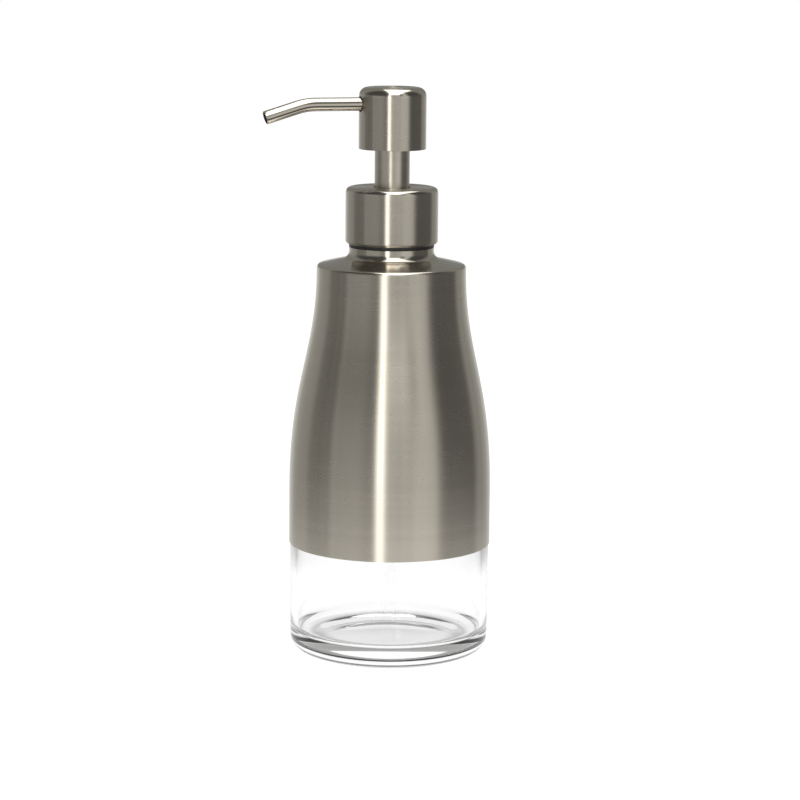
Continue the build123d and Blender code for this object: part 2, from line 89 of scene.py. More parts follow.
class BottleSizes(bpy.types.PropertyGroup):
    """Sizes of the glass bottle and its steel jacket."""

    glass_wall: length("Glass wall", "Thickness of the glass wall", 2.4 * MM)
    floor_height: length("Floor height", "Height of the bottle's inner floor", 7.0 * MM)
    floor_corner: length("Floor corner", "Radius between the inner floor and the wall", 3.0 * MM)
    heel: length("Heel", "Radius of the edge that the bottle stands on", 5.5 * MM)
    punt_radius: length("Punt radius", "Radius of the hollow in the underside", 26.0 * MM)
    punt_depth: length("Punt depth", "Depth of the hollow in the underside", 1.5 * MM)
    straight_side: length("Straight side", "Height of the jacket's straight lower part", 18.1 * MM)
    waist_radius: length("Waist radius", "Jacket radius below the shoulder", 25.65 * MM)
    shoulder_height: length("Shoulder height", "Height where side and shoulder would meet", 135.05 * MM)
    shoulder_slope: angle("Shoulder slope", "Slope of the shoulder cone", 13.2)
    shoulder_round: length("Shoulder round", "Radius of the shoulder's outer edge", 1.2 * MM)
    neck_flare: length("Neck flare", "Radius between the shoulder and the neck", 3.0 * MM)
    belly_hold: FloatProperty(name="Belly hold", description="Lower pull of the side's curve", default=0.51)
    waist_hold: FloatProperty(name="Waist hold", description="Upper pull of the side's curve", default=0.39)
    lip_radius: length("Lip radius", "Outer radius of the jacket's neck lip", 14.6 * MM)
    jacket_wall: length("Jacket wall", "Thickness of the jacket's sheet steel", 0.35 * MM)
    jacket_gap: length("Jacket gap", "Gap between the glass and the jacket", 0.05 * MM)
    lip_cover: length("Lip cover", "Jacket's neck lip above the glass ring that it covers", 0.24 * MM)
    neck_radius: length("Neck radius", "Outer radius of the neck below the thread", 12.4 * MM)
    neck_bore: length("Neck bore", "Radius of the bottle's mouth", 9.6 * MM)
    rim_round: length("Rim round", "Radius of the mouth's edges", 0.7 * MM)
    thread_pitch: length("Thread pitch", "Rise of the thread in one turn", 4.233 * MM)
    thread_turns: FloatProperty(name="Thread turns", description="Turns of the thread ridge", default=1.5)
    thread_depth: length("Thread depth", "Height of the thread ridge", 1.3 * MM)
    thread_crest: length("Thread crest", "Width of the ridge at its crest", 1.2 * MM)
    thread_root: length("Thread root", "Width of the ridge at its root", 2.4 * MM)
    thread_below_rim: length("Thread below rim", "Rim down to the top of the ridge", 2.05 * MM)


class PumpSizes(bpy.types.PropertyGroup):
    """Sizes of the collar, head, sleeve and spout."""

    sheet: length("Sheet", "Sheet steel of the collar and the head", 0.5 * MM)
    collar_round: length("Collar round", "Radius of the collar's upper edge", 1.75 * MM)
    hem_round: length("Hem round", "Radius of the collar's turned-in lower edge", 1.1 * MM)
    sleeve_wall: length("Sleeve wall", "Thickness of the sleeve", 0.4 * MM)
    sleeve_play: length("Sleeve play", "Gap round the sleeve in the collar's hole", 0.5 * MM)
    head_round: length("Head round", "Radius of the head's upper edge", 3.0 * MM)
    edge_round: length("Edge round", "Broken edge of the sheet steel", 0.12 * MM)
    spout_radius: length("Spout radius", "Outer radius of the spout", 2.3 * MM)
    spout_wall: length("Spout wall", "Thickness of the spout's wall", 0.35 * MM)
    spout_play: length("Spout play", "Gap round the spout in the head's hole", 0.45 * MM)
    spout_root: length("Spout root", "Axis of the head out to the spout's inner end", 4.5 * MM)
    spout_run: length("Spout run", "Axis of the head out to the bend", 30.4 * MM)
    spout_reach: length("Spout reach", "Axis of the head out to the tip", 44.6 * MM)
    spout_angle: angle("Spout angle", "Slope of the spout's last part", 17.0)
    spout_bend: length("Spout bend", "Radius of the spout's bend", 22.0 * MM)
    stroke: length("Stroke", "Travel of the pump, which closes up the spring", 11.5 * MM)
    spring_wire: length("Spring wire", "Diameter of the spring's wire", 0.8 * MM)
    spring_coils: IntProperty(name="Spring coils", description="Turns of the spring", default=5, min=1)


class Finishes(bpy.types.PropertyGroup):
    """Colours of the materials."""

    steel: colour("Steel", "Stainless steel in all its finishes", (0.62, 0.578, 0.50))
    spring_steel: colour("Spring steel", "Spring wire", (0.42, 0.41, 0.40))
    glass: colour("Glass", "Clear glass", (0.997, 1.0, 0.998))
    tube: colour("Dip tube", "Clear tube plastic", (0.995, 0.995, 0.995))
    moulded: colour("Moulded plastic", "Natural white pump plastic", (0.82, 0.82, 0.80))
    # Near black, so that the gap under the collar where the nut shows reads dark: painted shade for that
    # gap.
    nut: colour("Nut plastic", "Black plastic of the collar's nut", (0.02, 0.02, 0.02))
    piston: colour("Piston plastic", "Soft plastic of the piston", (0.72, 0.74, 0.76))
    gasket: colour("Gasket", "Foam of the neck gasket", (0.74, 0.74, 0.71))
    rubber: colour("Rubber", "Black rubber of the spout seal", (0.018, 0.018, 0.018))


class StudioSizes(bpy.types.PropertyGroup):
    """Camera and light of the studio."""

    camera_azimuth: angle("Camera azimuth", "Way round the object, from the front", -16.0)
    camera_distance: length("Camera distance", "Level distance from the bottle's axis", 0.9625)
    camera_height: length("Camera height", "Height of the lens", 0.2518)
    camera_pitch: angle("Camera pitch", "Downward tilt of the camera", 9.67)
    camera_pan: angle("Camera pan", "Aim beside the bottle's axis", 0.20)
    camera_roll: angle("Camera roll", "Roll of the camera", 0.5)
    lens: FloatProperty(name="Lens", description="Focal length in millimetres", default=126.8)
    floor_size: length("Floor size", "Side of the square floor", 8.0)
    table_radius: length("Table radius", "White table that reflections show round the object", 0.12)
    backdrop_folds: FloatProperty(
        name="Backdrop folds", description="Soft folds round the room", default=50.0
    )
    top_light_height: length("Top light height", "Height of the overhead light", 1.2)
    top_light_width: length("Top light width", "Overhead light, side to side", 0.78)
    top_light_depth: length("Top light depth", "Overhead light, front to back", 2.0)
    top_light_right: length("Top light to the right", "Overhead light's centre, right of the axis", 0.17)
    top_light_forward: length("Top light forward", "Overhead light's centre, before the axis", 0.45)
    top_light_power: FloatProperty(
        name="Top light power", description="Watts of the overhead light", default=10.8
    )


class DispenserSettings(bpy.types.PropertyGroup):
    """All that a user can change."""

    bottle: PointerProperty(type=BottleSizes)
    pump: PointerProperty(type=PumpSizes)
    finishes: PointerProperty(type=Finishes)
    studio: PointerProperty(type=StudioSizes)
    segments: IntProperty(
        name="Segments", description="Steps round every turned piece", default=192, min=24
    )


# ---- Outlines: lists of (radius, height) points ----


def arc(centre, radius, start, end, steps=10):
    """Points on an arc, from one angle to another in degrees."""
    points = []
    for k in range(steps + 1):
        turn = math.radians(start + (end - start) * k / steps)
        points.append((centre[0] + radius * math.cos(turn), centre[1] + radius * math.sin(turn)))
    return points


def curve(start, hold_start, hold_end, end, steps=56):
    """Points on a cubic Bezier curve."""
    points = []
    for k in range(steps + 1):
        t = k / steps
        a, b, c, d = (1 - t) ** 3, 3 * (1 - t) ** 2 * t, 3 * (1 - t) * t**2, t**3
        points.append(
            tuple(a * start[i] + b * hold_start[i] + c * hold_end[i] + d * end[i] for i in (0, 1))
        )
    return points


def straight(start, end, step):
    """Points on a line, no further apart than step."""
    count = max(1, math.ceil(math.dist(start, end) / step))
    return [tuple(start[i] + (end[i] - start[i]) * k / count for i in (0, 1)) for k in range(count + 1)]


def rounded(corners, steps=8):
    """Round off each (radius, height, round) corner of a closed outline."""
    points = []
    for k, (r, z, size) in enumerate(corners):
        here = Vector((r, z))
        if not size:
            points.append((r, z))
            continue
        before = (Vector(corners[k - 1][:2]) - here).normalized()
        after = (Vector(corners[(k + 1) % len(corners)][:2]) - here).normalized()
        half = before.angle(after) / 2
        centre = here + (before + after).normalized() * size / math.sin(half)
        start = here + before * size / math.tan(half) - centre
        end = here + after * size / math.tan(half) - centre
        turn = math.atan2(start.x * end.y - start.y * end.x, start.dot(end))
        first = math.degrees(math.atan2(start.y, start.x))
        points += arc(centre, size, first, first + math.degrees(turn), steps)
    return points


def flank(sizes, inset, bottom, corner, neck, flare, top):
    """Outline of the bottle's side, shoulder and neck, inset from the jacket's outer face."""
    slope = sizes.shoulder_slope
    belly = jacket_high.x - inset
    waist = sizes.waist_radius - inset
    edge = sizes.shoulder_height - inset * (1 - math.sin(slope)) / math.cos(slope)
    turn = 90 - math.degrees(slope)
    corner_start = edge - corner * math.tan(math.radians(turn / 2))
    straight_top = jacket_low.z + sizes.straight_side
    rise = corner_start - straight_top
    flare_end = neck + flare * (1 - math.sin(slope))
    flare_height = edge + (waist - flare_end) * math.tan(slope) + flare * math.cos(slope)
    side = straight((belly, bottom), (belly, straight_top), 3 * MM)
    side += curve(
        (belly, straight_top),
        (belly, straight_top + sizes.belly_hold * rise),
        (waist, corner_start - sizes.waist_hold * rise),
        (waist, corner_start),
    )[1:]
    shoulder = arc((waist - corner, corner_start), corner, 0, turn)[1:]
    root = arc((neck + flare, flare_height), flare, 180 + turn, 180, 14)
    cone = straight(shoulder[-1], root[0], 1.5 * MM)[1:-1]
    return side + shoulder + cone + root + [(neck, top)]


def dense(outline, step):
    """A closed outline with no side longer than step."""
    points = []
    for start, end in zip(outline, outline[1:] + outline[:1]):
        points += straight(start, end, step)[:-1]
    return points


def tube(inner, outer, bottom, top, edge):
    """Outline of a tube with rounded edges."""
    corners = [(inner, bottom), (outer, bottom), (outer, top), (inner, top)]
    return rounded([(*corner, edge) for corner in corners], 3)


# ---- Meshes ----


def new_object(name, mesh, body):
    """Put a mesh in the scene as a piece that rides on a body."""
    piece = bpy.data.objects.new(name, mesh)
    bpy.context.scene.collection.objects.link(piece)
    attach(piece, body)
    return piece


def turned(name, outline, steps):
    """Mesh of a closed outline turned about Z. Points on the axis become poles."""
    verts, rings = [], []
    for r, z in outline:
        if r < 1e-7:
            rings.append([len(verts)] * steps)
            verts.append((0, 0, z))
            continue
        rings.append(list(range(len(verts), len(verts) + steps)))
        for k in range(steps):
            turn = 2 * math.pi * k / steps
            verts.append((r * math.cos(turn), r * math.sin(turn), z))
    faces = []
    for low, high in zip(rings, rings[1:] + rings[:1]):
        if low[0] == low[1] and high[0] == high[1]:
            continue
        for k in range(steps):
            j = (k + 1) % steps
            corners = [low[k], low[j], high[j], high[k]]
            faces.append([v for n, v in enumerate(corners) if v not in corners[:n]])
    mesh = bpy.data.meshes.new(name)
    mesh.from_pydata(verts, [], faces)
    mesh.validate()
    return finished(mesh)


def finished(mesh, sharp=40):
    """Outward normals and smooth shading, with sharp edges kept sharp."""
    work = bmesh.new()
    work.from_mesh(mesh)
    bmesh.ops.recalc_face_normals(work, faces=work.faces)
    for edge in work.edges:
        if len(edge.link_faces) == 2:
            edge.smooth = edge.calc_face_angle() < math.radians(sharp)
    work.to_mesh(mesh)
    work.free()
    mesh.shade_smooth()
    mesh.set_sharp_from_angle(angle=math.radians(sharp))
    return mesh


# ---- Shader helpers ----


def add(tree, kind, values=(), **settings):
    """Add a node with its settings, and set its input sockets by name."""
    node = tree.nodes.new(kind)
    for name, value in settings.items():
        setattr(node, name, value)
    for name, value in dict(values).items():
        node.inputs[name].default_value = value
    return node


def maths(tree, operation, first, second=None):
    """A Math node; each side is a socket or a number."""
    node = tree.nodes.new("ShaderNodeMath")
    node.operation = operation
    for socket, value in zip(node.inputs, (first, second)):
        if value is None:
            continue
        if isinstance(value, (int, float)):
            socket.default_value = value
        else:
            tree.links.new(value, socket)
    return node.outputs[0]


def group(name, inputs, outputs):
    """An empty shader node group with float inputs (name, default) and float outputs."""
    tree = bpy.data.node_groups.new(name, "ShaderNodeTree")
    for label, default in inputs:
        socket = tree.interface.new_socket(label, in_out="INPUT", socket_type="NodeSocketFloat")
        socket.default_value = default
    for label in outputs:
        tree.interface.new_socket(label, in_out="OUTPUT", socket_type="NodeSocketFloat")
    return tree, tree.nodes.new("NodeGroupInput"), tree.nodes.new("NodeGroupOutput")


def brushed_grain():
    """Fine lines that run round the axis: along walls and in circles on flat tops."""
    name = "Brushed grain"
    if name in bpy.data.node_groups:
        return bpy.data.node_groups[name]
    tree, given, out = group(
        name, [("Breaks per metre", 12.0), ("Lines per metre", 950.0)], ["Height", "Streak"]
    )
    place = add(tree, "ShaderNodeTexCoord")
    parts = add(tree, "ShaderNodeSeparateXYZ")
    tree.links.new(place.outputs["Object"], parts.inputs[0])
    square = maths(
        tree,
        "ADD",
        maths(tree, "MULTIPLY", parts.outputs["X"], parts.outputs["X"]),
        maths(tree, "MULTIPLY", parts.outputs["Y"], parts.outputs["Y"]),
    )
    across = maths(tree, "ADD", maths(tree, "SQRT", square), parts.outputs["Z"])
    vector = add(tree, "ShaderNodeCombineXYZ")
    for axis, value, rate in (
        ("X", parts.outputs["X"], "Breaks per metre"),
        ("Y", parts.outputs["Y"], "Breaks per metre"),
        ("Z", across, "Lines per metre"),
    ):
        tree.links.new(maths(tree, "MULTIPLY", value, given.outputs[rate]), vector.inputs[axis])
    fine = add(tree, "ShaderNodeTexNoise", {"Scale": 1.0, "Detail": 0.0})
    coarse = add(tree, "ShaderNodeTexNoise", {"Scale": 0.4, "Detail": 1.0, "Roughness": 0.6})
    tree.links.new(vector.outputs[0], fine.inputs["Vector"])
    tree.links.new(vector.outputs[0], coarse.inputs["Vector"])
    tree.links.new(fine.outputs[0], out.inputs["Height"])
    tree.links.new(coarse.outputs[0], out.inputs["Streak"])
    return tree


def handling_marks():
    """Soft patches where hands and cloths have left the surface a little duller."""
    name = "Handling marks"
    if name in bpy.data.node_groups:
        return bpy.data.node_groups[name]
    tree, given, out = group(name, [("Scale", 60.0), ("Amount", 0.04)], ["Dulling"])
    place = add(tree, "ShaderNodeTexCoord")
    patches = add(tree, "ShaderNodeTexNoise", {"Detail": 4.0, "Roughness": 0.55, "Distortion": 0.6})
    tree.links.new(place.outputs["Object"], patches.inputs["Vector"])
    tree.links.new(given.outputs["Scale"], patches.inputs["Scale"])
    centred = maths(tree, "SUBTRACT", patches.outputs[0], 0.5)
    tree.links.new(maths(tree, "MULTIPLY", centred, given.outputs["Amount"]), out.inputs["Dulling"])
    return tree


def principled(name, **sockets):
    """A material with one Principled BSDF whose sockets are set directly."""
    material = bpy.data.materials.new(name)
    material.use_nodes = True
    shader = material.node_tree.nodes["Principled BSDF"]
    for label, value in sockets.items():
        shader.inputs[label.replace("_", " ")].default_value = value
    return material, material.node_tree, shader


# Numbers of a Mix node's sockets when it mixes colours, since its sockets share their names.
MIX_FACTOR, MIX_FIRST, MIX_SECOND, MIX_RESULT = 0, 6, 7, 2


def shaded(tree, mask, tint, dark, bright):
    """A tint that goes from its dark share to its bright share with a mask."""
    shade = add(tree, "ShaderNodeMix", data_type="RGBA")
    shade.inputs[MIX_FIRST].default_value = (*[c * dark for c in tint], 1)
    shade.inputs[MIX_SECOND].default_value = (*[min(1, c * bright) for c in tint], 1)
    tree.links.new(mask, shade.inputs[MIX_FACTOR])
    return shade.outputs[MIX_RESULT]


def place_group(tree, group_tree, **values):
    """Add a group node and set its inputs."""
    node = tree.nodes.new("ShaderNodeGroup")
    node.node_tree = group_tree
    for label, value in values.items():
        node.inputs[label.replace("_", " ")].default_value = value
    return node


def bump(tree, shader, height, distance, strength=1.0):
    """Drive the shader's normal from a height socket."""
    node = add(tree, "ShaderNodeBump", {"Distance": distance, "Strength": strength})
    tree.links.new(height, node.inputs["Height"])
    tree.links.new(node.outputs[0], shader.inputs["Normal"])


# ---- Materials ----


def steel(name, tint, roughness, anisotropy, grain_depth, streak, marks):
    """Stainless steel with grain that runs round the axis."""
    material, tree, shader = principled(
        name, Metallic=1.0, Anisotropic=anisotropy, Anisotropic_Rotation=0.25
    )
    grain = place_group(tree, brushed_grain())
    patches = place_group(tree, handling_marks(), Amount=marks)
    bump(tree, shader, grain.outputs["Height"], grain_depth)
    wobble = maths(tree, "MULTIPLY", maths(tree, "SUBTRACT", grain.outputs["Streak"], 0.5), streak)
    rough = maths(tree, "ADD", maths(tree, "ADD", wobble, patches.outputs["Dulling"]), roughness)
    tree.links.new(rough, shader.inputs["Roughness"])
    tree.links.new(shaded(tree, grain.outputs["Streak"], tint, 0.95, 1.05), shader.inputs["Base Color"])
    around = add(tree, "ShaderNodeTangent", direction_type="RADIAL", axis="Z")
    tree.links.new(around.outputs[0], shader.inputs["Tangent"])
    return material


# For each finish: brightness of its tint, roughness, anisotropy, depth of its grain, and how much
# its streaks and marks change the roughness.
STEEL_FINISHES = {
    "satin steel": (1.0, 0.27, 0.93, 0.0012 * MM, 0.03, 0.03),
    "buffed steel": (1.0, 0.18, 0.8, 0.0003 * MM, 0.02, 0.03),
    "polished steel": (1.0, 0.12, 0.5, 0.0004 * MM, 0.02, 0.03),
    "drawn steel": (1.0, 0.28, 0.0, 0.0003 * MM, 0.03, 0.03),
    # The bore's tint, a tenth as bright as the steel, is painted shade inside the spout; its higher
    # roughness makes it duller.
    "dull bore in painted shade": (0.1, 0.5, 0.0, 0.0004 * MM, 0.04, 0.1),
}


def finish(name):
    """One of the steel finishes, made once."""
    if name not in bpy.data.materials:
        brightness, *values = STEEL_FINISHES[name]
        tint = [brightness * c for c in bpy.context.scene.dispenser.finishes.steel]
        steel(name, tint, *values)
    return bpy.data.materials[name]


def spring_wire(finishes):
    """Drawn spring wire with a slightly uneven surface."""
    material, tree, shader = principled("spring wire", Metallic=1.0)
    place = add(tree, "ShaderNodeTexCoord")
    cloud = add(tree, "ShaderNodeTexNoise", {"Scale": 900.0, "Detail": 3.0})
    tree.links.new(place.outputs["Object"], cloud.inputs["Vector"])
    bump(tree, shader, cloud.outputs[0], 0.004 * MM)
    patches = place_group(tree, handling_marks(), Scale=400.0, Amount=0.15)
    tree.links.new(maths(tree, "ADD", patches.outputs["Dulling"], 0.24), shader.inputs["Roughness"])
    tint = shaded(tree, cloud.outputs[0], finishes.spring_steel, 0.9, 1.1)
    tree.links.new(tint, shader.inputs["Base Color"])
    return material


def foam(tint):
    """Closed-cell foam of the gasket."""
    material, tree, shader = principled("gasket foam", Roughness=0.85)
    place = add(tree, "ShaderNodeTexCoord")
    cells = add(tree, "ShaderNodeTexVoronoi", {"Scale": 3500.0})
    tree.links.new(place.outputs["Object"], cells.inputs["Vector"])
    bump(tree, shader, cells.outputs["Distance"], 0.05 * MM)
    tree.links.new(shaded(tree, cells.outputs["Distance"], tint, 0.85, 1.1), shader.inputs["Base Color"])
    return material


def clear(name, tint, ior, roughness):
    """Clear glass or plastic with faint smears."""
    material, tree, shader = principled(name, IOR=ior)
    shader.inputs["Transmission Weight"].default_value = 1.0
    shader.inputs["Base Color"].default_value = (*tint, 1)
    patches = place_group(tree, handling_marks(), Scale=45.0, Amount=0.02)
    tree.links.new(maths(tree, "ADD", patches.outputs["Dulling"], roughness), shader.inputs["Roughness"])
    return material


def moulded(name, tint, roughness, subsurface=0.0):
    """Moulded plastic with a fine moulded texture and slight mottling."""
    material, tree, shader = principled(name)
    place = add(tree, "ShaderNodeTexCoord")
    texture = add(tree, "ShaderNodeTexNoise", {"Scale": 2500.0, "Detail": 2.0})
    cloud = add(tree, "ShaderNodeTexNoise", {"Scale": 90.0, "Detail": 3.0})
    tree.links.new(place.outputs["Object"], texture.inputs["Vector"])
    tree.links.new(place.outputs["Object"], cloud.inputs["Vector"])
    bump(tree, shader, texture.outputs[0], 0.01 * MM)
    tree.links.new(shaded(tree, cloud.outputs[0], tint, 0.92, 1.05), shader.inputs["Base Color"])
    patches = place_group(tree, handling_marks(), Scale=120.0, Amount=0.1)
    tree.links.new(maths(tree, "ADD", patches.outputs["Dulling"], roughness), shader.inputs["Roughness"])
    shader.inputs["Subsurface Weight"].default_value = subsurface
    shader.inputs["Subsurface Scale"].default_value = 1.0 * MM
    return material


def paint(node_name, material):
    """Give a CAD node a new material in every slot."""
    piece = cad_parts[node_name]
    if not piece.material_slots:
        piece.data.materials.append(material)
    for slot in piece.material_slots:
        slot.material = material


# ---- Pieces ----


def buff_edge(mesh, bottom, inside):
    """Satin finish, and a buffed edge above one height and outside one radius."""
    mesh.materials.append(finish("satin steel"))
    mesh.materials.append(finish("buffed steel"))
    for face in mesh.polygons:
        centre = face.center
        face.material_index = int(centre.z > bottom and math.hypot(centre.x, centre.y) > inside)


RUN_OUT_TURNS = 1 / 12  # the thread rises from nothing, and ends, over this share of a turn
ON_WALL = 0.01 * MM  # a point this near the neck's radius is on its wall


def raise_thread(mesh, sizes, top):
    """Push the neck's wall out along a right-hand helix whose upper end is at a height."""
    start = top - sizes.thread_turns * sizes.thread_pitch
    half_root, half_crest = sizes.thread_root / 2, sizes.thread_crest / 2
    for vert in mesh.vertices:
        radius = math.hypot(vert.co.x, vert.co.y)
        if abs(radius - sizes.neck_radius) > ON_WALL:
            continue
        share = math.atan2(vert.co.y, vert.co.x) / (2 * math.pi) % 1
        for turn in range(math.ceil(sizes.thread_turns)):
            done = share + turn
            off = abs(vert.co.z - start - done * sizes.thread_pitch)
            height = (half_root - off) / (half_root - half_crest)
            run_out = min(done, sizes.thread_turns - done) / RUN_OUT_TURNS
            height = max(0, min(1, height, run_out))
            vert.co.xy *= 1 + height * sizes.thread_depth / radius


class DISPENSER_OT_bottle(bpy.types.Operator):
    """Turn the glass bottle with its thick floor, neck and thread"""

    bl_idname = "dispenser.bottle"
    bl_label = "Glass bottle"

    def execute(self, context):
        settings = context.scene.dispenser
        sizes = settings.bottle
        radius = glass_high.x
        skin = sizes.jacket_wall + sizes.jacket_gap
        lip = jacket_high.z - sizes.lip_cover
        rim = sizes.rim_round
        rim_height = glass_high.z
        bore = radius - sizes.glass_wall - sizes.floor_corner
        sag = sizes.punt_depth
        bowl = (sizes.punt_radius**2 + sag**2) / (2 * sag)
        tilt = math.degrees(math.asin(sizes.punt_radius / bowl))
        outline = arc((0, sag - bowl), bowl, 90, 90 - tilt, 12)
        outline += arc((radius - sizes.heel, sizes.heel), sizes.heel, -90, 0, 16)
        outline += flank(
            sizes,
            skin,
            sizes.heel + 3 * MM,
            sizes.shoulder_round - skin,
            sizes.lip_radius - skin,
            sizes.neck_flare + skin,
            lip,
        )
        outline += [(sizes.neck_radius, lip)]
        outline += straight((sizes.neck_radius, lip + rim), (sizes.neck_radius, rim_height - rim), 0.3 * MM)
        outline += arc((sizes.neck_radius - rim, rim_height - rim), rim, 0, 90, 6)[1:]
        outline += arc((sizes.neck_bore + rim, rim_height - rim), rim, 90, 180, 6)
        inner = flank(
            sizes,
            skin + sizes.glass_wall,
            sizes.floor_height + sizes.floor_corner,
            sizes.shoulder_round,
            sizes.neck_bore,
            sizes.neck_flare,
            rim_height - 3 * MM,
        )
        outline += inner[::-1]
        outline += arc((bore, sizes.floor_height + sizes.floor_corner), sizes.floor_corner, 0, -90, 10)[1:]
        outline += straight((bore, sizes.floor_height), (0, sizes.floor_height), 4 * MM)[1:]
        mesh = turned("bottle_glass", outline, settings.segments)
        raise_thread(mesh, sizes, rim_height - sizes.thread_below_rim)
        piece = new_object("bottle_glass", mesh, "bottle")
        mesh.materials.append(clear("clear glass", settings.finishes.glass, ior=1.5, roughness=0.012))
        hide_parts("glass_bottle")
        return {"FINISHED"}


class DISPENSER_OT_jacket(bpy.types.Operator):
    """Turn the steel jacket: satin on its side, buffed on the shoulder and neck"""

    bl_idname = "dispenser.jacket"
    bl_label = "Steel jacket"

    def execute(self, context):
        settings = context.scene.dispenser
        sizes = settings.bottle
        wall = sizes.jacket_wall
        outer = flank(
            sizes, 0, jacket_low.z, sizes.shoulder_round, sizes.lip_radius, sizes.neck_flare, jacket_high.z
        )
        inner = flank(
            sizes,
            wall,
            jacket_low.z,
            sizes.shoulder_round - wall,
            sizes.lip_radius - wall,
            sizes.neck_flare + wall,
            jacket_high.z,
        )
        mesh = turned("jacket_steel", outer + inner[::-1], settings.segments)
        mesh.materials.append(finish("satin steel"))
        mesh.materials.append(finish("buffed steel"))
        edge = sizes.shoulder_height - sizes.shoulder_round / 3
        for face in mesh.polygons:
            face.material_index = int(face.center.z > edge)
        piece = new_object("jacket_steel", mesh, "bottle")
        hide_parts("steel_jacket")
        return {"FINISHED"}


class DISPENSER_OT_collar(bpy.types.Operator):
    """Turn the steel collar with its rounded top and turned-in lower edge"""

    bl_idname = "dispenser.collar"
    bl_label = "Collar"

    def execute(self, context):
        settings = context.scene.dispenser
        sizes = settings.pump
        radius, bottom, top = collar_high.x, collar_low.z, collar_high.z
        sheet, edge = sizes.sheet, sizes.edge_round
        hole = sleeve_high.x + sizes.sleeve_play
        outline = rounded([
            (radius - sizes.hem_round, bottom, edge),
            (radius, bottom, sizes.hem_round),
            (radius, top, sizes.collar_round),
            (hole, top, edge),
            (hole, top - sheet, edge),
            (radius - sheet, top - sheet, sizes.collar_round - sheet),
            (radius - sheet, bottom + sheet, sizes.hem_round - sheet),
            (radius - sizes.hem_round, bottom + sheet, edge),
        ])
        mesh = turned("collar_steel", dense(outline, 0.7 * MM), settings.segments)
        buff_edge(mesh, top - sizes.collar_round, radius - sizes.collar_round)
        piece = new_object("collar_steel", mesh, "collar")
        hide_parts("collar_shell")
        return {"FINISHED"}


class DISPENSER_OT_head(bpy.types.Operator):
    """Turn the steel head and cut the spout's hole in its side"""

    bl_idname = "dispenser.head"
    bl_label = "Head"

    def execute(self, context):
        settings = context.scene.dispenser
        sizes = settings.pump
        radius, bottom, top = head_high.x, head_low.z, head_high.z
        sheet, edge = sizes.sheet, sizes.edge_round
        outline = rounded([
            (0, top - sheet, 0),
            (radius - sheet, top - sheet, sizes.head_round - sheet),
            (radius - sheet, bottom, edge),
            (radius, bottom, edge),
            (radius, top, sizes.head_round),
            (0, top, 0),
        ], 12)
        mesh = turned("head_steel", dense(outline, 0.7 * MM), settings.segments)
        buff_edge(mesh, top - sizes.head_round, radius - sizes.head_round)
        piece = new_object("head_steel", mesh, "plunger")
        hole = sizes.spout_radius + sizes.spout_play
        cutter_outline = [(0, radius / 2), (hole, radius / 2), (hole, radius + hole), (0, radius + hole)]
        cutter = bpy.data.objects.new("cutter", turned("cutter", cutter_outline, settings.segments // 3))
        context.scene.collection.objects.link(cutter)
        cutter.location.z = (seal_low.z + seal_high.z) / 2
        cutter.rotation_euler.y = -math.pi / 2
        cut = piece.modifiers.new("spout hole", "BOOLEAN")
        cut.object = cutter
        cut.solver = "EXACT"
        context.view_layer.update()
        piece.data = bpy.data.meshes.new_from_object(piece.evaluated_get(context.evaluated_depsgraph_get()))
        piece.modifiers.clear()
        bpy.data.objects.remove(cutter)
        finished(piece.data)
        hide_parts("head_shell")
        return {"FINISHED"}


class DISPENSER_OT_sleeve(bpy.types.Operator):
    """Turn the drawn steel sleeve that covers the stem"""

    bl_idname = "dispenser.sleeve"
    bl_label = "Stem sleeve"

    def execute(self, context):
        settings = context.scene.dispenser
        sizes = settings.pump
        radius = sleeve_high.x
        outline = tube(radius - sizes.sleeve_wall, radius, sleeve_low.z, sleeve_high.z, sizes.edge_round)
        mesh = turned("sleeve_steel", dense(outline, 1 * MM), settings.segments)
        mesh.materials.append(finish("drawn steel"))
        piece = new_object("sleeve_steel", mesh, "plunger")
        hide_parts("stem_sleeve")
        return {"FINISHED"}


BORE_DEPTH = 0.9  # share of the spout's wall past which a face belongs to its bore


class DISPENSER_OT_spout(bpy.types.Operator):
    """Make a straight polished tube and bend it down near its tip"""

    bl_idname = "dispenser.spout"
    bl_label = "Spout"

    def execute(self, context):
        settings = context.scene.dispenser
        sizes = settings.pump
        height = (seal_low.z + seal_high.z) / 2
        bend, turn = sizes.spout_bend, sizes.spout_angle
        corner = bend * math.tan(turn / 2)
        run = sizes.spout_run - sizes.spout_root - corner
        last = (sizes.spout_reach - sizes.spout_run) / math.cos(turn) - corner
        radius = sizes.spout_radius
        outline = tube(radius - sizes.spout_wall, radius, 0, run + bend * turn + last, sizes.edge_round)
        mesh = turned("spout_steel", dense(outline, 0.7 * MM), settings.segments // 2)
        mesh.materials.append(finish("polished steel"))
        # The bore's dark tint is painted shade inside the tube.
        mesh.materials.append(finish("dull bore in painted shade"))
        for face in mesh.polygons:
            face.material_index = int(face.center.xy.length < radius - BORE_DEPTH * sizes.spout_wall)
        for vert in mesh.vertices:
            distance = vert.co.z
            tilt = min(max(distance - run, 0), bend * turn) / bend
            before = min(distance, run)
            after = max(distance - run - bend * turn, 0)
            x = before + bend * math.sin(tilt) + after * math.cos(tilt)
            z = -bend * (1 - math.cos(tilt)) - after * math.sin(tilt)
            vert.co = (
                -sizes.spout_root - x - vert.co.x * math.sin(tilt),
                vert.co.y,
                height + z + vert.co.x * math.cos(tilt),
            )
        finished(mesh)
        piece = new_object("spout_steel", mesh, "plunger")
        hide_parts("spout_tube")
        return {"FINISHED"}


WIRE_SIDES = 16
WIRE_STEPS = 48  # in each turn of the spring


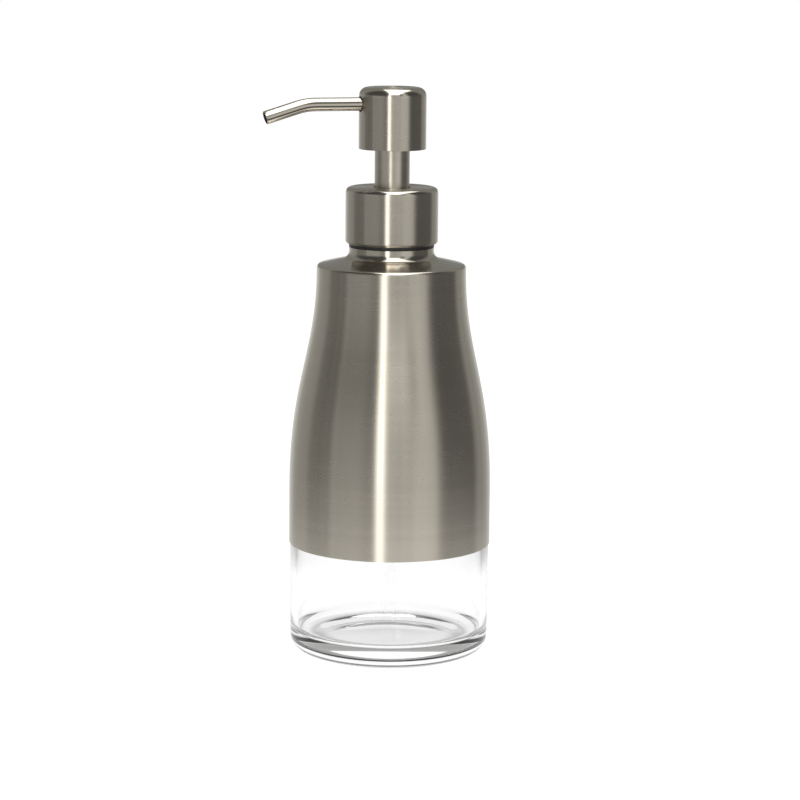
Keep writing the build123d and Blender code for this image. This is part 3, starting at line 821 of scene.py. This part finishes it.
class DISPENSER_OT_spring(bpy.types.Operator):
    """Wind the return spring"""

    bl_idname = "dispenser.spring"
    bl_label = "Return spring"

    def execute(self, context):
        settings = context.scene.dispenser
        sizes = settings.pump
        wire = sizes.spring_wire / 2
        radius = spring_high.x - wire
        rise = spring_high.z - spring_low.z - sizes.spring_wire
        sides, steps = WIRE_SIDES, WIRE_STEPS * sizes.spring_coils
        climb = math.atan2(rise, 2 * math.pi * sizes.spring_coils * radius)
        verts, faces = [], []
        for k in range(steps + 1):
            turn = 2 * math.pi * sizes.spring_coils * k / steps
            out = Vector((math.cos(turn), math.sin(turn), 0))
            along = Vector((-math.sin(turn), math.cos(turn), math.tan(climb))).normalized()
            centre = out * radius + Vector((0, 0, spring_low.z + wire + rise * k / steps))
            for n in range(sides):
                side = 2 * math.pi * n / sides
                verts.append(centre + wire * (math.cos(side) * out + math.sin(side) * out.cross(along)))
        for k in range(steps):
            for n in range(sides):
                ring, other = k * sides, (n + 1) % sides
                faces.append((ring + n, ring + other, ring + sides + other, ring + sides + n))
        faces.append(tuple(range(sides)))
        faces.append(tuple(steps * sides + n for n in range(sides)))
        mesh = bpy.data.meshes.new("spring_wire")
        mesh.from_pydata(verts, [], faces)
        finished(mesh)
        mesh.materials.append(spring_wire(settings.finishes))
        piece = new_object("spring_wire", mesh, "pump_body")
        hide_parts("return_spring")
        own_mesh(piece)
        return {"FINISHED"}


class DISPENSER_OT_pump_parts(bpy.types.Operator):
    """Give every inner piece of the pump its own material"""

    bl_idname = "dispenser.pump_parts"
    bl_label = "Pump parts"

    def execute(self, context):
        finishes = context.scene.dispenser.finishes
        white = moulded("moulded plastic", finishes.moulded, roughness=0.42, subsurface=0.15)
        # The nut's near black colour is painted shade for the gap under the collar.
        paint("collar_nut", moulded("black plastic, painted gap shade", finishes.nut, roughness=0.4))
        for name in ("pump_housing", "guide_bush", "ball_cage", "stem", "stem_foot", "head_core"):
            paint(name, white)
        paint("piston", moulded("piston plastic", finishes.piston, roughness=0.3, subsurface=0.3))
        paint("neck_gasket", foam(finishes.gasket))
        paint("spout_seal", moulded("seal rubber", finishes.rubber, roughness=0.55))
        paint("dip_tube", clear("tube plastic", finishes.tube, ior=1.15, roughness=0.05))
        paint("inlet_ball", finish("polished steel"))
        paint("outlet_ball", finish("polished steel"))
        return {"FINISHED"}


# Grey cards, strip light, window and dark flags round the object: name, from and to in degrees
# round it from the camera's side, brightness.
LEVEL_PANELS = (
    ("left backdrop", -180, -160, 0.75),
    ("left edge of the backdrop", -144, -140, 0.45),
    ("left wall", -130, -114, 0.35),
    ("left grey card", -104, -78, 0.21),
    ("left screen", -66, -34, 0.4),
    ("gap", -26, -18, 0.27),
    ("strip light", -12.5, -9, 3.0),
    ("window", -4, 20, 0.5),
    ("window's bright side", 30, 52, 0.68),
    ("right dark flag", 66, 112, 0.11),
    ("right wall", 122, 130, 0.31),
    ("right edge of the backdrop", 140, 144, 0.4),
    ("right backdrop", 160, 180, 0.65),
)
UPPER_PANELS = (
    ("left backdrop", -180, -125, 0.3),
    ("left dark wall", -100, -16, 0.07),
    ("strip light", -12.5, -9, 2.5),
    ("window", -6, 24, 0.42),
    ("window's post", 29, 34, 0.1),
    ("window's bright side", 38, 50, 0.6),
    ("right dark wall", 58, 100, 0.07),
    ("right backdrop", 125, 180, 0.3),
)
PANEL_WARMTH = 0.97  # blue share of the panels' light
DARKEST_FOLD = 0.65  # share of the level panels' light where the backdrop's folds are darkest
FOLD_DEPTH = 0.7  # how much more of it there can be where they are brightest
# Where one part of the room gives way to the next, as the height part of a direction of length 1.
LEVEL_TO_UPPER = (0.16, 0.34)
SWEEP_TO_ROOM = (0.0, 0.1)
FLOOR_TO_LEVEL = (-0.5, -0.22)
BEHIND = (0.6, 0.9)  # share of a direction that points away from the camera
ROOM_BEHIND = (0.25, 0.25, 0.24)
ROOM_FLOOR = (0.08, 0.08, 0.08)
ROOM_IN_MIRRORED_GLASS = 0.85  # share of the room, and not of white, in light mirrored inside the glass
# Painted shadow on the table under the bottle, darker on the ring that it stands on, as shares of the
# bottle's radius and of white.
SHADE_EDGE = (0.76, 0.87)
CONTACT_EDGE = (0.58, 0.72)
PAINTED_UNDER_SHADE = 0.05
PAINTED_CONTACT_SHADE = 0.45
TABLE_END = 1.5  # table radii at which reflections no longer show it


def panel_ramp(tree, share, panels):
    """A colour ramp with two stops for each panel."""
    ramp = add(tree, "ShaderNodeValToRGB")
    tree.links.new(share, ramp.inputs[0])
    stops = ramp.color_ramp.elements
    while len(stops) < 2 * len(panels):
        stops.new(0.5)
    for k, (_, start, end, light) in enumerate(panels):
        for stop, heading in ((stops[2 * k], start), (stops[2 * k + 1], end)):
            stop.position = heading / 360 + 0.5
            stop.color = (light, light, light * PANEL_WARMTH, 1)
    return ramp.outputs[0]


def blend_colours(tree, share, first, second):
    """Mix two colours; each is a socket or an RGB tuple."""
    mix = add(tree, "ShaderNodeMix", data_type="RGBA")
    for number, value in ((MIX_FACTOR, share), (MIX_FIRST, first), (MIX_SECOND, second)):
        if isinstance(value, tuple):
            mix.inputs[number].default_value = (*value, 1)
        else:
            tree.links.new(value, mix.inputs[number])
    return mix.outputs[MIX_RESULT]


def fade(tree, value, start, end):
    """0 at start and below, 1 at end and beyond, smooth between."""
    node = add(tree, "ShaderNodeMapRange", interpolation_type="SMOOTHSTEP")
    node.inputs["From Min"].default_value = start
    node.inputs["From Max"].default_value = end
    tree.links.new(value, node.inputs["Value"])
    return node.outputs["Result"]


def studio_world(studio):
    """White for the camera and through the glass; panels round the object for reflections."""
    world = bpy.data.worlds.new("studio")
    world.use_nodes = True
    tree = world.node_tree
    place = add(tree, "ShaderNodeTexCoord")
    parts = add(tree, "ShaderNodeSeparateXYZ")
    tree.links.new(place.outputs["Generated"], parts.inputs[0])
    height = parts.outputs["Z"]
    forward = maths(tree, "MULTIPLY", parts.outputs["Y"], -1.0)
    heading = maths(tree, "ARCTAN2", parts.outputs["X"], forward)
    relative = maths(tree, "SUBTRACT", heading, studio.camera_azimuth)
    share = maths(tree, "FRACT", maths(tree, "ADD", maths(tree, "DIVIDE", relative, 2 * math.pi), 0.5))

    folds = add(
        tree,
        "ShaderNodeTexNoise",
        {"Scale": 1.0, "Detail": 3.0, "Roughness": 0.6},
        noise_dimensions="1D",
    )
    tree.links.new(maths(tree, "MULTIPLY", share, studio.backdrop_folds), folds.inputs["W"])
    dimmed = maths(tree, "ADD", maths(tree, "MULTIPLY", folds.outputs[0], FOLD_DEPTH), DARKEST_FOLD)
    level = add(tree, "ShaderNodeVectorMath", operation="SCALE")
    tree.links.new(panel_ramp(tree, share, LEVEL_PANELS), level.inputs[0])
    tree.links.new(dimmed, level.inputs["Scale"])
    upper = panel_ramp(tree, share, UPPER_PANELS)

    walls = blend_colours(tree, fade(tree, height, *LEVEL_TO_UPPER), level.outputs[0], upper)
    away = maths(tree, "MULTIPLY", maths(tree, "COSINE", relative), -1.0)
    above_sweep = maths(tree, "MULTIPLY", fade(tree, away, *BEHIND), fade(tree, height, *SWEEP_TO_ROOM))
    walls = blend_colours(tree, above_sweep, walls, ROOM_BEHIND)
    below = maths(tree, "SUBTRACT", 1.0, fade(tree, height, *FLOOR_TO_LEVEL))
    room = blend_colours(tree, below, walls, ROOM_FLOOR)

    path = add(tree, "ShaderNodeLightPath")
    mirrored = maths(tree, "GREATER_THAN", path.outputs["Glossy Depth"], 0.5)
    room_share = maths(tree, "MULTIPLY", mirrored, ROOM_IN_MIRRORED_GLASS)
    through = maths(tree, "SUBTRACT", path.outputs["Is Transmission Ray"], room_share)
    white_share = maths(tree, "MAXIMUM", path.outputs["Is Camera Ray"], through)
    back = tree.nodes["Background"]
    tree.links.new(blend_colours(tree, white_share, room, (1.0, 1.0, 1.0)), back.inputs["Color"])
    return world


def table(studio):
    """A white table, with painted shade where the bottle stands, that reflections show only near the
    object.
    """
    material, tree, shader = principled("table", Roughness=0.9)
    shader.inputs["Base Color"].default_value = (0.1, 0.1, 0.1, 1)
    shader.inputs["Emission Color"].default_value = (1, 1, 1, 1)
    place = add(tree, "ShaderNodeTexCoord")
    distance = add(tree, "ShaderNodeVectorMath", operation="LENGTH")
    tree.links.new(place.outputs["Object"], distance.inputs[0])
    away = distance.outputs["Value"]
    shade_edge = [share * glass_high.x for share in SHADE_EDGE]
    contact_edge = [share * glass_high.x for share in CONTACT_EDGE]
    under = maths(tree, "SUBTRACT", 1.0, fade(tree, away, *shade_edge))
    contact = maths(tree, "MULTIPLY", under, fade(tree, away, *contact_edge))
    painted_shadow = maths(
        tree,
        "ADD",
        maths(tree, "MULTIPLY", under, PAINTED_UNDER_SHADE),
        maths(tree, "MULTIPLY", contact, PAINTED_CONTACT_SHADE),
    )
    tree.links.new(maths(tree, "SUBTRACT", 1.0, painted_shadow), shader.inputs["Emission Strength"])
    path = add(tree, "ShaderNodeLightPath")
    far = fade(tree, away, studio.table_radius, TABLE_END * studio.table_radius)
    hidden = maths(tree, "MULTIPLY", far, path.outputs["Is Glossy Ray"])
    tree.links.new(maths(tree, "SUBTRACT", 1.0, hidden), shader.inputs["Alpha"])
    return material


class DISPENSER_OT_stage(bpy.types.Operator):
    """Make the pale table, the studio light and the camera"""

    bl_idname = "dispenser.stage"
    bl_label = "Stage"

    def execute(self, context):
        studio = context.scene.dispenser.studio
        scene = context.scene
        half = studio.floor_size / 2
        corners = [(-half, -half, 0), (half, -half, 0), (half, half, 0), (-half, half, 0)]
        mesh = bpy.data.meshes.new("floor")
        mesh.from_pydata(corners, [], [(0, 1, 2, 3)])
        mesh.materials.append(table(studio))
        floor = bpy.data.objects.new("floor", mesh)
        scene.collection.objects.link(floor)

        scene.world = studio_world(studio)

        light = bpy.data.lights.new("top light", "AREA")
        light.shape = "RECTANGLE"
        light.size = studio.top_light_width
        light.size_y = studio.top_light_depth
        light.energy = studio.top_light_power
        lamp = bpy.data.objects.new("top light", light)
        turn = studio.camera_azimuth
        lamp.rotation_euler.z = turn
        lamp.location = (
            math.cos(turn) * studio.top_light_right + math.sin(turn) * studio.top_light_forward,
            math.sin(turn) * studio.top_light_right - math.cos(turn) * studio.top_light_forward,
            studio.top_light_height,
        )
        scene.collection.objects.link(lamp)

        data = bpy.data.cameras.new("camera")
        data.lens = studio.lens
        camera = bpy.data.objects.new("camera", data)
        scene.collection.objects.link(camera)
        camera.location = (
            math.sin(turn) * studio.camera_distance,
            -math.cos(turn) * studio.camera_distance,
            studio.camera_height,
        )
        camera.rotation_euler = (math.pi / 2 - studio.camera_pitch, 0, turn - studio.camera_pan)
        camera.rotation_euler.rotate_axis("Z", studio.camera_roll)
        scene.camera = camera
        scene.view_settings.view_transform = "Standard"
        return {"FINISHED"}


class DISPENSER_PT_panel(bpy.types.Panel):
    """List the dispenser's pieces and sizes"""

    bl_idname = "DISPENSER_PT_panel"
    bl_label = "Soap Pump Dispenser"
    bl_space_type = "VIEW_3D"
    bl_region_type = "UI"
    bl_category = "Dispenser"

    def draw(self, context):
        settings = context.scene.dispenser
        for operator in PIECES:
            self.layout.operator(operator.bl_idname)
        self.layout.prop(settings, "segments")
        for part in (settings.bottle, settings.pump, settings.finishes, settings.studio):
            box = self.layout.box()
            box.label(text=type(part).bl_rna.name)
            for name in part.bl_rna.properties.keys():
                if name not in ("rna_type", "name"):
                    box.prop(part, name)


PIECES = (
    DISPENSER_OT_bottle,
    DISPENSER_OT_jacket,
    DISPENSER_OT_collar,
    DISPENSER_OT_head,
    DISPENSER_OT_sleeve,
    DISPENSER_OT_spout,
    DISPENSER_OT_spring,
    DISPENSER_OT_pump_parts,
    DISPENSER_OT_stage,
)
CLASSES = (BottleSizes, PumpSizes, Finishes, StudioSizes, DispenserSettings, *PIECES, DISPENSER_PT_panel)


def register():
    """Register every class, and the settings on the scene."""
    for cls in CLASSES:
        bpy.utils.register_class(cls)
    bpy.types.Scene.dispenser = PointerProperty(type=DispenserSettings)


def unregister():
    """Take away what register added."""
    del bpy.types.Scene.dispenser
    for cls in reversed(CLASSES):
        bpy.utils.unregister_class(cls)


def main():
    """Build every piece."""
    register()
    bpy.ops.dispenser.bottle()
    bpy.ops.dispenser.jacket()
    bpy.ops.dispenser.collar()
    bpy.ops.dispenser.head()
    bpy.ops.dispenser.sleeve()
    bpy.ops.dispenser.spout()
    bpy.ops.dispenser.spring()
    bpy.ops.dispenser.pump_parts()
    bpy.ops.dispenser.stage()


if __name__ == "__main__":
    main()
